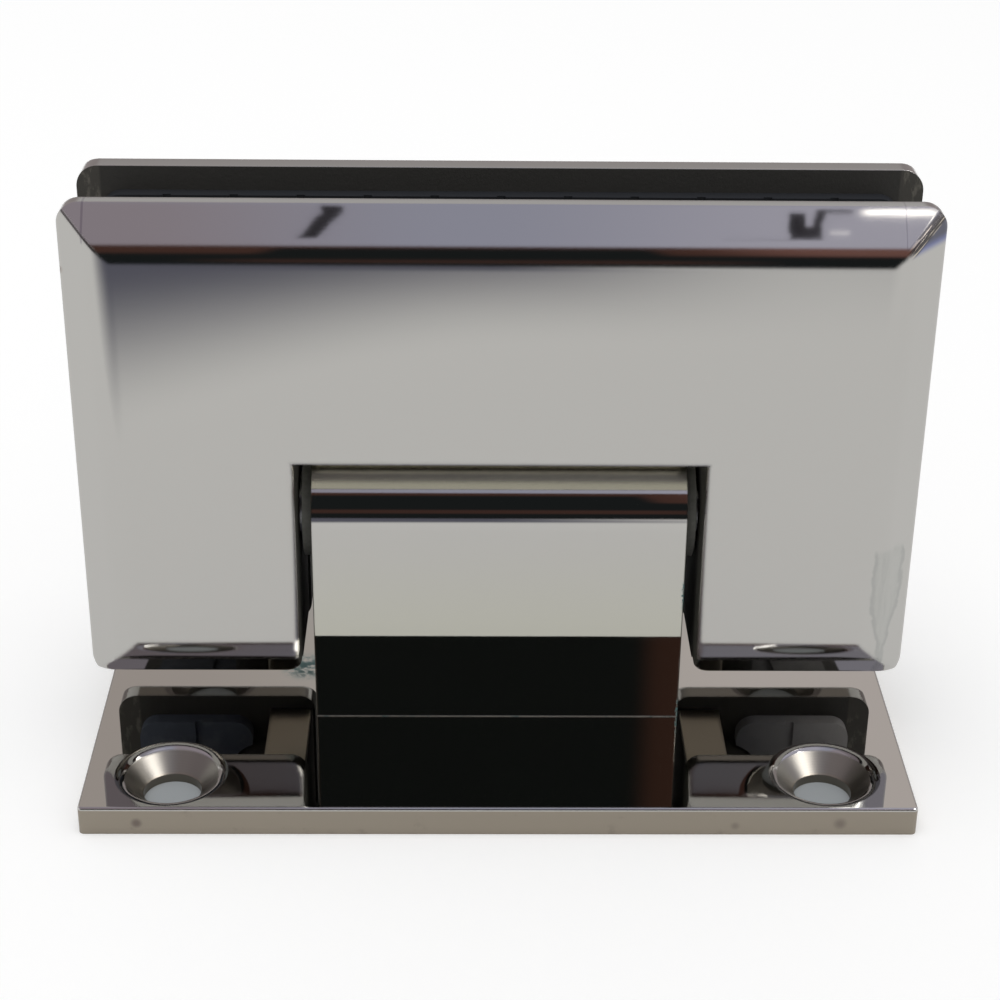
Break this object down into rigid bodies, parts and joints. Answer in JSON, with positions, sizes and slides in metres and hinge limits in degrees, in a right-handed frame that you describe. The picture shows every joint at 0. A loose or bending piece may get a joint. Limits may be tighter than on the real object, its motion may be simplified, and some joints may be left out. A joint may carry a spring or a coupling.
{
  "type": "glass door hinge",
  "caption": "Wall-mounted glass door hinge: a polished, bevelled clamp grips the glass and swings on a pin in a block that stands on a screwed wall plate.",
  "frame": {"origin": "on the wall face of the wall plate, under the middle of the hinge", "axes": "+Z out of the wall face towards the glass, X along the pin and the plate's long side, Y through the thickness of the glass"},
  "size_m": [0.09, 0.05, 0.0644],
  "materials": {
    "polished_chrome": "mirror-polished chrome plating with light handling smears",
    "pin_steel": "ground steel",
    "screw_steel": "plain machine-screw steel",
    "spring_steel": "drawn spring wire",
    "bush_plastic": "dark moulded plastic",
    "gasket_rubber": "dull blue-grey sheet rubber"
  },
  "bodies": {
    "wall": {"wall_plate": "polished_chrome", "pivot_block": "polished_chrome", "block_screw_left": "screw_steel", "block_screw_right": "screw_steel", "bush_left": "bush_plastic", "bush_right": "bush_plastic", "detent_spring_left": "spring_steel", "detent_spring_middle": "spring_steel", "detent_spring_right": "spring_steel"},
    "door": {"clamp_front": "polished_chrome", "clamp_rear": "polished_chrome", "gasket_front": "gasket_rubber", "gasket_rear": "gasket_rubber", "pivot_pin": "pin_steel", "clamp_screw_lower_left": "screw_steel", "clamp_screw_lower_right": "screw_steel", "clamp_screw_upper_left": "screw_steel", "clamp_screw_upper_right": "screw_steel"},
    "detent": {"pressure_bar": "pin_steel"}
  },
  "joints": [
    {"name": "door_swing", "type": "hinge", "parent": "wall", "child": "door", "pos_m": [0, 0, 0.02705], "axis": [1, 0, 0], "range_deg": [-90, 90]},
    {"name": "pressure_bar_lift", "type": "slide", "parent": "wall", "child": "detent", "axis": [0, 0, 1], "range_m": [0, 0.00085], "stiffness_N_per_m": 2000, "deforming": ["detent_spring_left", "detent_spring_middle", "detent_spring_right"]}
  ]
}
